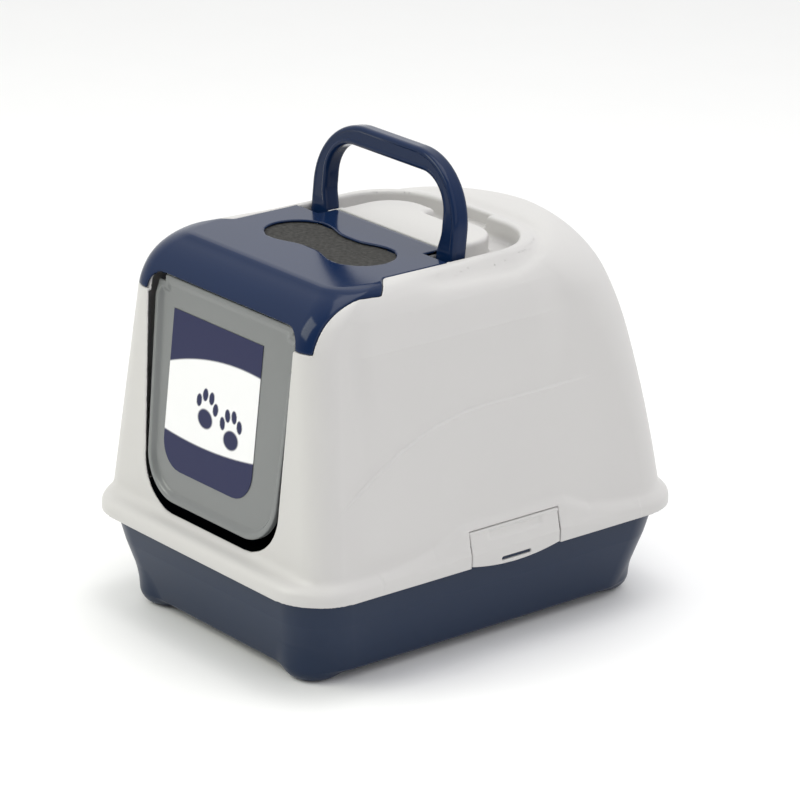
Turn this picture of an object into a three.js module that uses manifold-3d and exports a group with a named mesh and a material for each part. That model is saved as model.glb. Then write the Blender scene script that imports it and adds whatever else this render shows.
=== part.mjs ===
// Cat litter box with hood: tray, lift-off hood, flip-up cover with filter and swing door,
// fold-down carry handle and two side clips. Millimetres, +Z up, the door faces -Y, and the
// origin is on the floor under the middle of the tray.
import * as THREE from 'three';
import { mergeVertices } from 'three/addons/utils/BufferGeometryUtils.js';
import Module from 'manifold-3d';

const wasm = await Module();
wasm.setup();

// ---------- driving dimensions ----------
const LENGTH = 500; // over the rim, front to back
const WIDTH = 386; // over the rim, side to side
const ROOF_Z = 395;
const GAP = 0.4; // between pieces that rest on or beside each other
const SIDE_BOW = 0.01; // how much narrower the sides get towards the front and back
const CORNER_STEPS = 5;
const SIDE_STEPS = 2;

// Tray
const TRAY_WALL = 2.8;
const TRAY_FLOOR_Z = 9;
const TRAY_INSET = 11; // tray wall inside the rim line, at the rim
const TRAY_TAPER = 24; // how far each wall leans in from the rim to the floor
const TRAY_RADIUS = 50;
const FOOT_HEIGHT = 38;
const FOOT_RADIUS = 32;
const FOOT_FLAT_RADIUS = 16;
const FOOT_INSET_X = 73.5; // foot centre inside the rim line
const FOOT_INSET_Y = 62.5;

// Hood: rim flange, body and roof
const HOOD_WALL = 2.5;
const RIM_BOTTOM_Z = 100;
const RIM_HEIGHT = 11; // upright part of the rim
const RIM_SHOULDER = 12; // from the upright part to where the body starts
const RIM_RADIUS = 57;
const BODY_INSET_SIDE = 10; // body inside the rim line where it starts
const BODY_INSET_FRONT = 21.5;
const BODY_INSET_REAR = 11;
const BODY_LEAN_SIDE = 35; // how far the body leans in from its start to the roof
const BODY_LEAN_FRONT = 18;
const BODY_LEAN_REAR = 30;
const FRONT_RADIUS = 30;
const REAR_RADIUS_LOW = 49;
const REAR_RADIUS_HIGH = 120;
const SIDE_SHOULDER = { across: 45, down: 52 }; // at the rear
const SIDE_SHOULDER_FRONT = { across: 17, down: 29 };
const FRONT_SHOULDER = { across: 60, down: 55 };
const REAR_SHOULDER = { across: 38, down: 114 };
const PLATEAU_HALF = 122; // flat roof beside the cover and the handle groove
const PLATEAU_SLOPE = { out: 14, down: 14 };
const PLATEAU_FRONT_Y = -LENGTH / 2 + 85;

// Handle and its groove
const HANDLE_HALF = 113.7;
const HANDLE_REACH = 107; // pivot to the top of the bar
const HANDLE_RADIUS = 72;
const HANDLE_INNER_RADIUS = 37;
const HANDLE_BAR = 22;
const HANDLE_LEG = 22;
const HANDLE_FOOT = 27;
const HANDLE_DEPTH = 20;
const FOOT_BLOCK = { top: 8, bend: 16, legStart: 34 }; // where a foot narrows to its leg
const HANDLE_LEAN = 5.3; // degrees back from upright
const HANDLE_EDGE = 3;
const HANDLE_PIVOT = { y: -4, z: ROOF_Z - 11 };
const HANDLE_PIN_RADIUS = 4;
const PIN_CLEARANCE = 0.3;
const GROOVE_SIDE_GAP = 3.5;
const GROOVE_DEPTH = 22;
const GROOVE_FRONT_Y = -30; // under the cover
const GROOVE_RADIUS = 66;
const ISLAND_RADIUS = 40;
const ISLAND_GAP = 1.2; // island to the folded handle
const NOTCH_HALF = 22; // finger notch behind the folded handle
const NOTCH_DEPTH = 16;

// Flip cover
const COVER_WALL = 2.6;
const COVER_SEAT = 0.8; // cover to the ledge under it
const VISOR_HALF = 141;
const COVER_HALF = HANDLE_HALF + 6.3;
const VISOR_STEP_Y = [-LENGTH / 2 + 126, -LENGTH / 2 + 146];
const VISOR_TIP_Z = ROOF_Z - 52;
const VISOR_LIP_Z = ROOF_Z - 32;
const VISOR_LEG = 20;
const SLOT_HALF = HANDLE_HALF - HANDLE_FOOT - 2.7; // inner edge of the slots for the handle legs
const COVER_HINGE = { y: -2, z: ROOF_Z - 3.2, radius: 3, half: SLOT_HALF - 4 };
const SLOT_FRONT_Y = -24;
const LEDGE_STEP = 3; // thicker rim of the hood round the cover
const VENT = { y: -76, x: 51, radius: 34, waist: 25 };

// Filter and its retainer
const FILTER = { halfWidth: 92, halfDepth: 35, thickness: 6 };
const RETAINER = { border: 4.5, thickness: 2.5, bar: 8, post: 2.4 };

// Doorway and swing door
const DOORWAY = { bottomZ: 124, halfLow: 107, halfHigh: 119, radius: 46 };
const DOOR_GAP = 3;
const DOOR_SILL_GAP = 9;
const DOOR_WALL = 2.4;
const DOOR_BORDER = { width: 9, proud: 1.2 };
const DOOR_HINGE = { y: -LENGTH / 2 + 51.5, z: ROOF_Z - 31, radius: 2.5 };
const HANGER = { inset: 7, width: 6 }; // the cover's two ears that hold the door
const HINGE_PIN_LENGTH = 22; // door pin, part of it on its stem
const HINGE_STEM = 14;
const DOOR_NOTCH = { height: 7, gap: 1.2 }; // top corners cut away below the ears
const DOOR_TOP_DROP = 4.6; // hinge line to the top edge of the door
const DOOR_LEAN = 6.2; // degrees, the foot of the door stands forward
const LABEL = {
  x: -13, halfWidth: 73, topZ: ROOF_Z - 66, bottomZ: DOORWAY.bottomZ + 42, radius: 30, thickness: 0.4,
};

// Side clips
const CLIP = { y0: -46, y1: 69, bottomZ: 95, wall: 2.8 };
const CLIP_HINGE = { inset: 7.2, z: 134.5, radius: 2.1, pin: 1.5, pinLength: 4 };
const CLIP_SLOT = { width: 38, height: 4, z: 100 };
const HUMP = { z: 142, shoulder: 10, runFront: 75, runRear: 55 };

// ---------- solids ----------

// A closed three.js geometry as a solid.
function solid(geometry) {
  geometry.deleteAttribute('normal');
  geometry.deleteAttribute('uv');
  const merged = mergeVertices(geometry, 1e-4);
  return new wasm.Manifold(new wasm.Mesh({
    numProp: 3,
    vertProperties: Float32Array.from(merged.attributes.position.array),
    triVerts: Uint32Array.from(merged.index.array),
  }));
}

// A solid through closed rings of points that all have the same count, listed from the bottom up
// and each turning left seen from above.
function loft(rings) {
  const count = rings[0].length;
  const positions = [];
  const index = [];
  rings.flat().forEach((p) => positions.push(p.x, p.y, p.z));
  for (let r = 0; r + 1 < rings.length; r += 1) {
    for (let i = 0; i < count; i += 1) {
      const a = r * count + i;
      const b = r * count + ((i + 1) % count);
      index.push(a, b, b + count, a, b + count, a + count);
    }
  }
  const addCap = (ring, first, up) => {
    const centre = new THREE.Vector3();
    ring.forEach((p) => centre.addScaledVector(p, 1 / count));
    const middle = positions.length / 3;
    positions.push(centre.x, centre.y, centre.z);
    for (let i = 0; i < count; i += 1) {
      const a = first + i;
      const b = first + ((i + 1) % count);
      index.push(...(up ? [middle, a, b] : [middle, b, a]));
    }
  };
  addCap(rings[0], 0, false);
  addCap(rings[rings.length - 1], (rings.length - 1) * count, true);
  const geometry = new THREE.BufferGeometry();
  geometry.setAttribute('position', new THREE.Float32BufferAttribute(positions, 3));
  geometry.setIndex(index);
  return solid(geometry);
}

// Shape (x, y) pulled up from z0 to z1.
function alongZ(shape, z0, z1, options = {}) {
  const geometry = new THREE.ExtrudeGeometry(shape, {
    depth: z1 - z0, bevelEnabled: false, curveSegments: 8, ...options,
  });
  return solid(geometry.translate(0, 0, z0));
}

// Shape (y, z) pulled along X from x0 to x1.
function alongX(shape, x0, x1, options = {}) {
  const geometry = new THREE.ExtrudeGeometry(shape, {
    depth: x1 - x0, bevelEnabled: false, curveSegments: 8, ...options,
  });
  const turn = new THREE.Matrix4().makeBasis(
    new THREE.Vector3(0, 1, 0), new THREE.Vector3(0, 0, 1), new THREE.Vector3(1, 0, 0),
  );
  return solid(geometry.applyMatrix4(turn).translate(x0, 0, 0));
}

// Shape (x, z) pulled along Y from y0 to y1.
function alongY(shape, y0, y1, options = {}) {
  const geometry = new THREE.ExtrudeGeometry(shape, {
    depth: y1 - y0, bevelEnabled: false, curveSegments: 8, ...options,
  });
  const turn = new THREE.Matrix4().makeBasis(
    new THREE.Vector3(1, 0, 0), new THREE.Vector3(0, 0, 1), new THREE.Vector3(0, -1, 0),
  );
  return solid(geometry.applyMatrix4(turn).translate(0, y1, 0));
}

// Box between two corners.
function box(x0, x1, y0, y1, z0, z1) {
  const geometry = new THREE.BoxGeometry(x1 - x0, y1 - y0, z1 - z0);
  return solid(geometry.translate((x0 + x1) / 2, (y0 + y1) / 2, (z0 + z1) / 2));
}

// Round bar along X or Y between two places on its axis.
function bar(axis, radius, from, to, place, steps = 16) {
  const geometry = new THREE.CylinderGeometry(radius, radius, to - from, steps);
  const middle = (from + to) / 2;
  if (axis === 'x') return solid(geometry.rotateZ(-Math.PI / 2).translate(middle, place.y, place.z));
  return solid(geometry.translate(place.x, middle, place.z));
}

// Closed outline through points, with a radius at each corner where the third value is given.
function outline(points) {
  const shape = new THREE.Shape();
  const at = (i) => new THREE.Vector2(...points[(i + points.length) % points.length]);
  points.forEach(([x, y, radius = 0], i) => {
    const corner = new THREE.Vector2(x, y);
    const before = at(i - 1).sub(corner);
    const after = at(i + 1).sub(corner);
    const half = before.angle() - after.angle();
    const bend = Math.abs(Math.tan(half / 2));
    const reach = Math.min(radius / Math.max(bend, 1e-6), before.length() / 2, after.length() / 2);
    const start = before.setLength(reach).add(corner);
    const end = after.setLength(reach).add(corner);
    if (i === 0) shape.moveTo(start.x, start.y);
    else shape.lineTo(start.x, start.y);
    if (radius > 0) shape.quadraticCurveTo(corner.x, corner.y, end.x, end.y);
  });
  shape.closePath();
  return shape;
}

// Rounded rectangle that is symmetric about x = 0.
function roundedPlan(half, y0, y1, frontRadius, rearRadius) {
  const shape = new THREE.Shape();
  shape.moveTo(-half + frontRadius, y0);
  shape.lineTo(half - frontRadius, y0);
  shape.absarc(half - frontRadius, y0 + frontRadius, frontRadius, -Math.PI / 2, 0);
  shape.lineTo(half, y1 - rearRadius);
  shape.absarc(half - rearRadius, y1 - rearRadius, rearRadius, 0, Math.PI / 2);
  shape.lineTo(-half + rearRadius, y1);
  shape.absarc(-half + rearRadius, y1 - rearRadius, rearRadius, Math.PI / 2, Math.PI);
  shape.lineTo(-half, y0 + frontRadius);
  shape.absarc(-half + frontRadius, y0 + frontRadius, frontRadius, Math.PI, 1.5 * Math.PI);
  return shape;
}

function joined(parts) {
  return parts.reduce((sum, part) => sum.add(part));
}

function mirrored(part) {
  return part.mirror([1, 0, 0]);
}

// The one body of a moulding, without the specks under 1 mm3 that a cut can leave at its edge.
function moulding(shape) {
  const pieces = shape.decompose().filter((piece) => piece.volume() > 1);
  return joined(pieces);
}

// ---------- the shared outer form ----------

// One level of a moulding at height z: a rounded rectangle with bowed sides, which may be
// wider at the front than at the rear.
function level(section, z) {
  const { half, front, rear, halfFront = half } = section;
  const most = Math.min(half, halfFront, (rear - front) / 2) * 0.98;
  const frontRadius = Math.min(section.frontRadius, most);
  const rearRadius = Math.min(section.rearRadius, most);
  const points = [];
  const corner = (sx, sy, radius, start) => {
    const cx = sx * ((sy > 0 ? half : halfFront) - radius);
    const cy = sy > 0 ? rear - radius : front + radius;
    for (let i = 0; i <= CORNER_STEPS; i += 1) {
      const a = start + (i / CORNER_STEPS) * (Math.PI / 2);
      points.push([cx + radius * Math.cos(a), cy + radius * Math.sin(a)]);
    }
  };
  const side = (sx, from, to) => {
    for (let i = 1; i <= SIDE_STEPS; i += 1) {
      const t = i / (SIDE_STEPS + 1);
      const ends = sx < 0 ? [half, halfFront] : [halfFront, half];
      points.push([sx * (ends[0] + (ends[1] - ends[0]) * t), from + (to - from) * t]);
    }
  };
  corner(1, 1, rearRadius, 0);
  corner(-1, 1, rearRadius, Math.PI / 2);
  side(-1, rear - rearRadius, front + frontRadius);
  corner(-1, -1, frontRadius, Math.PI);
  corner(1, -1, frontRadius, 1.5 * Math.PI);
  side(1, front + frontRadius, rear - rearRadius);
  return points.map(([x, y]) => {
    const bow = 1 - SIDE_BOW * (y / (LENGTH / 2)) ** 2;
    return new THREE.Vector3(x * bow, y, z);
  });
}

function shrunk(section, inset) {
  return {
    half: section.half - inset,
    front: section.front + inset,
    rear: section.rear - inset,
    frontRadius: Math.max(section.frontRadius - inset, 1),
    rearRadius: Math.max(section.rearRadius - inset, 1),
  };
}

function blended(a, b, t) {
  const mix = (key) => a[key] + (b[key] - a[key]) * t;
  return {
    half: mix('half'),
    front: mix('front'),
    rear: mix('rear'),
    frontRadius: mix('frontRadius'),
    rearRadius: mix('rearRadius'),
  };
}

const RIM_TOP_Z = RIM_BOTTOM_Z + RIM_HEIGHT;
const BODY_Z = RIM_TOP_Z + RIM_SHOULDER;
const RIM = {
  half: WIDTH / 2,
  front: -LENGTH / 2,
  rear: LENGTH / 2,
  frontRadius: RIM_RADIUS,
  rearRadius: RIM_RADIUS,
};

// How far a quarter-ellipse shoulder has come in at height z, for a wall that is inset.
function shoulderIn(shoulder, z, inset) {
  const start = ROOF_Z - shoulder.down;
  const s = Math.min(Math.max((z - start) / (shoulder.down - inset), 0), 1);
  return (shoulder.across - inset) * (1 - Math.sqrt(1 - s * s));
}

// The hood body at height z, with its surface moved in by inset.
function bodySection(z, inset) {
  const t = (z - BODY_Z) / (ROOF_Z - BODY_Z);
  const leaning = {
    half: WIDTH / 2 - BODY_INSET_SIDE - BODY_LEAN_SIDE * t,
    front: -LENGTH / 2 + BODY_INSET_FRONT + BODY_LEAN_FRONT * t,
    rear: LENGTH / 2 - BODY_INSET_REAR - BODY_LEAN_REAR * t,
    frontRadius: FRONT_RADIUS,
    rearRadius: REAR_RADIUS_LOW + (REAR_RADIUS_HIGH - REAR_RADIUS_LOW) * t * t,
  };
  const section = shrunk(leaning, inset);
  section.halfFront = section.half - shoulderIn(SIDE_SHOULDER_FRONT, z, inset);
  section.half -= shoulderIn(SIDE_SHOULDER, z, inset);
  section.front += shoulderIn(FRONT_SHOULDER, z, inset);
  section.rear -= shoulderIn(REAR_SHOULDER, z, inset);
  return section;
}

// Levels of the body up to where the shoulders start, as shares of that height, then levels
// that crowd together towards the roof, where the shoulders turn over.
const STRAIGHT_SHARES = [0, 0.24, 0.46, 0.65, 0.8, 0.92];
const TURN_STEPS = 8;

function bodyLevels(inset) {
  const top = ROOF_Z - inset;
  const start = ROOF_Z - SIDE_SHOULDER.down;
  const straight = STRAIGHT_SHARES.map((share) => BODY_Z + share * (start - BODY_Z));
  const turned = Array.from({ length: TURN_STEPS + 1 }, (_, i) => (
    start + (top - start) * Math.sin((i / TURN_STEPS) * (Math.PI / 2))
  ));
  return [...straight, ...turned];
}

// The whole outer form of the hood with its surface moved in by inset, from z0 up.
function hoodForm(inset, z0) {
  const lip = shrunk(RIM, inset);
  const start = bodySection(BODY_Z, inset);
  const rim = [
    level(lip, z0),
    level(lip, RIM_TOP_Z - inset),
    level(blended(lip, start, 0.12), RIM_TOP_Z + 0.3 * RIM_SHOULDER - inset),
    level(blended(lip, start, 0.5), RIM_TOP_Z + 0.55 * RIM_SHOULDER - inset),
    level(blended(lip, start, 0.9), RIM_TOP_Z + 0.75 * RIM_SHOULDER - inset),
  ];
  const body = bodyLevels(inset).map((z) => level(bodySection(z, inset), z));
  const plateau = [
    [PLATEAU_SLOPE.out * 1.7, ROOF_Z - PLATEAU_SLOPE.down * 2],
    [PLATEAU_SLOPE.out, ROOF_Z - PLATEAU_SLOPE.down],
    [PLATEAU_SLOPE.out * 0.3, ROOF_Z - PLATEAU_SLOPE.down * 0.3],
    [1, ROOF_Z - inset - 0.6],
    [0, ROOF_Z - inset],
  ].map(([out, z]) => level({
    half: PLATEAU_HALF + out - inset,
    front: PLATEAU_FRONT_Y + inset,
    rear: GROOVE.rear + PLATEAU_HALF - GROOVE.half + out - inset,
    frontRadius: 20,
    rearRadius: GROOVE_RADIUS + PLATEAU_HALF - GROOVE.half + out - inset,
  }, Math.min(z, ROOF_Z - inset)));
  return loft([...rim, ...body]).add(loft(plateau));
}

// ---------- handle groove ----------

const GROOVE = {
  half: HANDLE_HALF + GROOVE_SIDE_GAP,
  rear: HANDLE_PIVOT.y + HANDLE_REACH + GROOVE_SIDE_GAP,
  floor: ROOF_Z - GROOVE_DEPTH,
  islandHalf: HANDLE_HALF - HANDLE_FOOT - ISLAND_GAP,
  islandRear: HANDLE_PIVOT.y + HANDLE_REACH - HANDLE_BAR - ISLAND_GAP,
};

// The U-shaped channel, grown by a wall on every side but the top.
function grooveForm(grow) {
  const outer = roundedPlan(
    GROOVE.half + grow, GROOVE_FRONT_Y - grow, GROOVE.rear + grow, 4 + grow, GROOVE_RADIUS + grow,
  );
  const island = roundedPlan(
    GROOVE.islandHalf - grow, GROOVE_FRONT_Y - 40, GROOVE.islandRear - grow, 2, ISLAND_RADIUS - grow,
  );
  const floor = GROOVE.floor - grow;
  const channel = alongZ(outer, floor, ROOF_Z + 5).subtract(alongZ(island, floor - 1, ROOF_Z + 6));
  const notch = alongY(outline([
    [-NOTCH_HALF - 4 - grow, ROOF_Z + 5, 0], [-NOTCH_HALF - grow, ROOF_Z - NOTCH_DEPTH - grow, 8],
    [NOTCH_HALF + grow, ROOF_Z - NOTCH_DEPTH - grow, 8], [NOTCH_HALF + 4 + grow, ROOF_Z + 5, 0],
  ]), GROOVE.islandRear - 16 - grow, GROOVE.rear + 11 + grow);
  return channel.add(notch);
}

// ---------- the flip cover's plan and the ledge it lies on ----------

// Plan of the cover, grown by a margin: wide visor in front, narrower roof panel behind.
function coverPlan(grow) {
  const [stepFront, stepRear] = VISOR_STEP_Y;
  const visor = VISOR_HALF + grow;
  const panel = COVER_HALF + grow;
  const slot = SLOT_HALF + grow;
  const slotY = SLOT_FRONT_Y + grow;
  const rear = COVER_HINGE.y + grow;
  const right = [
    [visor, -LENGTH / 2 - 10, 0],
    [visor, stepFront + grow * 0.4, 9],
    [panel, stepRear + grow * 0.4, 9],
    [panel, slotY, 3],
    [slot, slotY, 2],
    [slot, rear - 3, 4],
    [slot - 12, rear, 4],
  ];
  const left = right.map(([x, y, r]) => [-x, y, r]).reverse();
  return outline([...right, ...left]);
}

// The space that the cover takes in plan, down to its leg tips.
function coverSpace(grow) {
  return alongZ(coverPlan(grow), VISOR_TIP_Z - grow, ROOF_Z + 10);
}

// Doorway seen from the front, narrowing downwards, with a margin all round it.
function doorwayPlan(margin, topZ) {
  const low = DOORWAY.bottomZ - margin;
  const radius = DOORWAY.radius + margin;
  return outline([
    [DOORWAY.halfHigh + margin, topZ, 0],
    [-DOORWAY.halfHigh - margin, topZ, 0],
    [-DOORWAY.halfLow - margin, low, radius],
    [DOORWAY.halfLow + margin, low, radius],
  ]);
}

// ---------- side clips ----------

const CLIP_OUT = WIDTH / 2; // clip face, in line with the rim
const CLIP_PIVOT = { x: CLIP_OUT - CLIP_HINGE.inset, z: CLIP_HINGE.z };

// Points of the clip's outer face seen along Y, moved in by an inset.
function clipFace(inset) {
  return [
    [CLIP_OUT - inset, CLIP.bottomZ],
    [CLIP_OUT - inset, RIM_TOP_Z + 2],
    [CLIP_PIVOT.x + CLIP_HINGE.radius - inset * 0.9, CLIP_PIVOT.z],
  ];
}

function clipRight() {
  const inner = clipFace(CLIP.wall).reverse();
  const plate = alongY(outline([...clipFace(0), ...inner]), CLIP.y0, CLIP.y1);
  const barrel = bar('y', CLIP_HINGE.radius, CLIP.y0, CLIP.y1, CLIP_PIVOT);
  const pin = bar(
    'y', CLIP_HINGE.pin, CLIP.y0 - CLIP_HINGE.pinLength, CLIP.y1 + CLIP_HINGE.pinLength, CLIP_PIVOT,
  );
  const middle = (CLIP.y0 + CLIP.y1) / 2;
  const slot = box(
    CLIP_OUT - 20, CLIP_OUT + 5, middle - CLIP_SLOT.width / 2, middle + CLIP_SLOT.width / 2,
    CLIP_SLOT.z - CLIP_SLOT.height / 2, CLIP_SLOT.z + CLIP_SLOT.height / 2,
  );
  return joined([plate, barrel, pin]).subtract(slot);
}

// The swelling of the rim that the clip is set into: solid, tapering away fore and aft.
function clipHump() {
  const profile = [
    [CLIP_OUT - 13, RIM_TOP_Z - 1], [CLIP_OUT, RIM_TOP_Z - 1], [CLIP_OUT, RIM_TOP_Z + 2],
    [CLIP_PIVOT.x + CLIP_HINGE.radius, CLIP_PIVOT.z], [CLIP_OUT - 8.5, HUMP.z - 2],
    [CLIP_OUT - 13, HUMP.z],
  ];
  const ring = (y, size) => profile.map(([x, z]) => new THREE.Vector3(
    CLIP_OUT - 13 + (x - CLIP_OUT + 13) * (0.75 + 0.25 * size) - (1 - size) * 1.2,
    y,
    RIM_TOP_Z - 1 + (z - RIM_TOP_Z + 1) * size,
  )).reverse();
  const rings = [
    ring(CLIP.y0 - HUMP.runFront, 0.3), ring(CLIP.y0 - HUMP.runFront * 0.55, 0.5),
    ring(CLIP.y0 - HUMP.shoulder - 8, 0.88), ring(CLIP.y0 - HUMP.shoulder, 1),
    ring(CLIP.y1 + HUMP.shoulder, 1), ring(CLIP.y1 + HUMP.shoulder + 8, 0.88),
    ring(CLIP.y1 + HUMP.runRear * 0.62, 0.5), ring(CLIP.y1 + HUMP.runRear, 0.3),
  ];
  return loft(rings);
}

// The pocket and pin holes that the clip turns in.
function clipPocket() {
  const inner = clipFace(CLIP.wall + 0.6);
  const pocket = alongY(outline([
    [CLIP_OUT + 6, CLIP.bottomZ],
    [CLIP_OUT + 6, CLIP_PIVOT.z + CLIP_HINGE.radius + 0.7],
    [CLIP_PIVOT.x - CLIP_HINGE.radius - GAP, CLIP_PIVOT.z + CLIP_HINGE.radius + 0.7],
    [CLIP_PIVOT.x - CLIP_HINGE.radius - GAP, CLIP_PIVOT.z - 3],
    inner[1], inner[0],
  ]), CLIP.y0 - 0.6, CLIP.y1 + 0.6);
  const holes = bar(
    'y', CLIP_HINGE.pin + PIN_CLEARANCE, CLIP.y0 - CLIP_HINGE.pinLength - 1,
    CLIP.y1 + CLIP_HINGE.pinLength + 1, CLIP_PIVOT,
  );
  return pocket.add(holes);
}

// ---------- tray ----------

const TRAY_TOP_Z = RIM_TOP_Z - HOOD_WALL - GAP;

function tray() {
  const halfTop = WIDTH / 2 - TRAY_INSET;
  const endTop = LENGTH / 2 - TRAY_INSET;
  const section = (lean, inset) => ({
    half: halfTop - lean - inset,
    front: -(endTop - lean - inset),
    rear: endTop - lean - inset,
    frontRadius: TRAY_RADIUS - inset,
    rearRadius: TRAY_RADIUS - inset,
  });
  const wallForm = (inset, floorZ, topZ) => {
    const heights = [0, 0.05, 0.28, 0.6, 1];
    const leans = [1.12, 0.95, 0.7, 0.34, 0];
    return loft(heights.map((h, i) => (
      level(section(TRAY_TAPER * leans[i], inset), floorZ + h * (topZ - floorZ))
    )));
  };
  const outer = wallForm(0, TRAY_FLOOR_Z, TRAY_TOP_Z);
  const inner = wallForm(TRAY_WALL, TRAY_FLOOR_Z + TRAY_WALL, TRAY_TOP_Z + 0.5);
  const lip = shrunk(RIM, HOOD_WALL + 1);
  const lipPlate = loft([
    level(lip, TRAY_TOP_Z - TRAY_WALL),
    level(lip, TRAY_TOP_Z),
  ]);
  const footProfile = (inset, topZ) => {
    const r = FOOT_RADIUS - inset;
    const points = [new THREE.Vector2(0, inset)];
    const flat = FOOT_FLAT_RADIUS - inset * 0.4;
    for (let i = 0; i <= 4; i += 1) {
      const a = (i / 4) * (Math.PI / 2);
      points.push(new THREE.Vector2(
        flat + (r - flat) * Math.sin(a),
        inset + (FOOT_RADIUS - FOOT_FLAT_RADIUS) * 1.1 * (1 - Math.cos(a)),
      ));
    }
    points.push(new THREE.Vector2(r, topZ), new THREE.Vector2(0, topZ));
    return points;
  };
  const foot = (inset, topZ, x, y) => solid(
    new THREE.LatheGeometry(footProfile(inset, topZ), 16).rotateX(Math.PI / 2).translate(x, y, 0),
  );
  const places = [[1, 1], [-1, 1], [-1, -1], [1, -1]].map(([sx, sy]) => [
    sx * (WIDTH / 2 - FOOT_INSET_X), sy * (LENGTH / 2 - FOOT_INSET_Y),
  ]);
  const feet = joined(places.map(([x, y]) => foot(0, FOOT_HEIGHT, x, y)));
  const hollows = joined(places.map(([x, y]) => (
    foot(TRAY_WALL, FOOT_HEIGHT - TRAY_WALL, x, y)
  )));
  return joined([outer, lipPlate, feet]).subtract(inner).subtract(hollows);
}

// ---------- hood ----------

function hood() {
  const hump = clipHump();
  const outer = joined([hoodForm(0, RIM_BOTTOM_Z), hump, mirrored(hump)]);
  const inner = hoodForm(HOOD_WALL, RIM_BOTTOM_Z - 5);
  const groove = grooveForm(0);
  const shell = outer.subtract(groove).subtract(inner.subtract(grooveForm(HOOD_WALL)));

  // The cover lies on a ledge one cover thickness below the surface, with a thick rim round it.
  const ledgeTop = COVER_WALL + COVER_SEAT;
  const ledge = hoodForm(ledgeTop, RIM_BOTTOM_Z).subtract(groove)
    .subtract(hoodForm(ledgeTop + HOOD_WALL, RIM_BOTTOM_Z - 5).subtract(grooveForm(HOOD_WALL)));
  const thick = outer.subtract(groove)
    .subtract(hoodForm(ledgeTop + HOOD_WALL, RIM_BOTTOM_Z - 5).subtract(grooveForm(HOOD_WALL)));
  const near = coverSpace(GAP);
  const wide = coverSpace(GAP + LEDGE_STEP);
  const seat = wide.intersect(ledge);
  const rim = wide.subtract(near).intersect(thick);
  const bearer = box(
    -GROOVE.islandHalf, GROOVE.islandHalf, COVER_HINGE.y - 9, COVER_HINGE.y + 9,
    COVER_HINGE.z - 8, ROOF_Z,
  ).subtract(near.intersect(box(-200, 200, -300, 50, ROOF_Z - ledgeTop, ROOF_Z + 10)));

  const trough = bar(
    'x', COVER_HINGE.radius + GAP, -COVER_HINGE.half - 1, COVER_HINGE.half + 1, COVER_HINGE,
  );
  const troughMouth = box(
    -SLOT_HALF - 1, SLOT_HALF + 1, COVER_HINGE.y - 6,
    COVER_HINGE.y + COVER_HINGE.radius + GAP, COVER_HINGE.z, ROOF_Z + 5,
  );
  const coverPins = bar('x', 1.5 + PIN_CLEARANCE, -SLOT_HALF, SLOT_HALF, COVER_HINGE);
  const opening = alongZ(roundedPlan(
    DOORWAY.halfHigh - 3, -LENGTH / 2 - 10, GROOVE_FRONT_Y - 5, 2, 14,
  ), VISOR_TIP_Z - 6, ROOF_Z + 10);
  const doorway = alongY(doorwayPlan(0, VISOR_LIP_Z + 6), -LENGTH / 2 - 10, -LENGTH / 2 + 110);
  const handlePins = bar(
    'x', HANDLE_PIN_RADIUS + PIN_CLEARANCE, -GROOVE.half - 8, GROOVE.half + 8, HANDLE_PIVOT,
  );
  const pocket = clipPocket();
  return moulding(joined([shell.subtract(near), seat, rim, bearer])
    .subtract(joined([trough, troughMouth, coverPins, opening, doorway, handlePins]))
    .subtract(pocket)
    .subtract(mirrored(pocket)));
}

// ---------- flip cover, filter and retainer ----------

// Peanut outline of the vent: two round lobes joined by a narrower waist.
function ventPlan() {
  const { x, y, radius, waist } = VENT;
  const points = [];
  const steps = 10;
  for (let i = 0; i <= steps; i += 1) {
    const a = -0.6 * Math.PI + (i / steps) * 1.2 * Math.PI;
    points.push(new THREE.Vector2(x + radius * Math.cos(a), y + radius * Math.sin(a)));
  }
  points.push(new THREE.Vector2(0, y + waist));
  for (let i = 0; i <= steps; i += 1) {
    const a = 0.4 * Math.PI + (i / steps) * 1.2 * Math.PI;
    points.push(new THREE.Vector2(-x + radius * Math.cos(a), y + radius * Math.sin(a)));
  }
  points.push(new THREE.Vector2(0, y - waist));
  return new THREE.Shape(points);
}

function flipCover() {
  const sheet = hoodForm(0, RIM_BOTTOM_Z).subtract(hoodForm(COVER_WALL, RIM_BOTTOM_Z - 5));
  const plan = coverSpace(0);
  const lipHalf = VISOR_HALF - VISOR_LEG;
  const mouth = alongY(outline([
    [lipHalf, VISOR_TIP_Z - 20, 0], [lipHalf, VISOR_LIP_Z, 14],
    [-lipHalf, VISOR_LIP_Z, 14], [-lipHalf, VISOR_TIP_Z - 20, 0],
  ]), -LENGTH / 2 - 10, -LENGTH / 2 + 120);
  const vent = alongZ(ventPlan(), ROOF_Z - 20, ROOF_Z + 10);
  const bead = bar('x', COVER_HINGE.radius, -COVER_HINGE.half, COVER_HINGE.half, COVER_HINGE);
  const pins = bar('x', 1.5, -SLOT_HALF + 0.6, SLOT_HALF - 0.6, COVER_HINGE);
  const earEnd = DOORWAY.halfHigh - HANGER.inset;
  const hanger = alongX(outline([
    [DOOR_HINGE.y - 4, DOOR_HINGE.z - 3.9, 3],
    [DOOR_HINGE.y + 4, DOOR_HINGE.z - 3.9, 3],
    [DOOR_HINGE.y + 17, ROOF_Z - 5, 0],
    [DOOR_HINGE.y + 4, ROOF_Z, 0],
    [DOOR_HINGE.y - 4, DOOR_HINGE.z + 8, 0],
  ]), earEnd - HANGER.width, earEnd)
    .intersect(hoodForm(1, RIM_BOTTOM_Z))
    .subtract(bar('x', DOOR_HINGE.radius + PIN_CLEARANCE, 0, DOORWAY.halfHigh, DOOR_HINGE));
  return joined([
    sheet.intersect(plan).subtract(mouth).subtract(vent), bead, pins, hanger, mirrored(hanger),
  ]);
}

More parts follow.
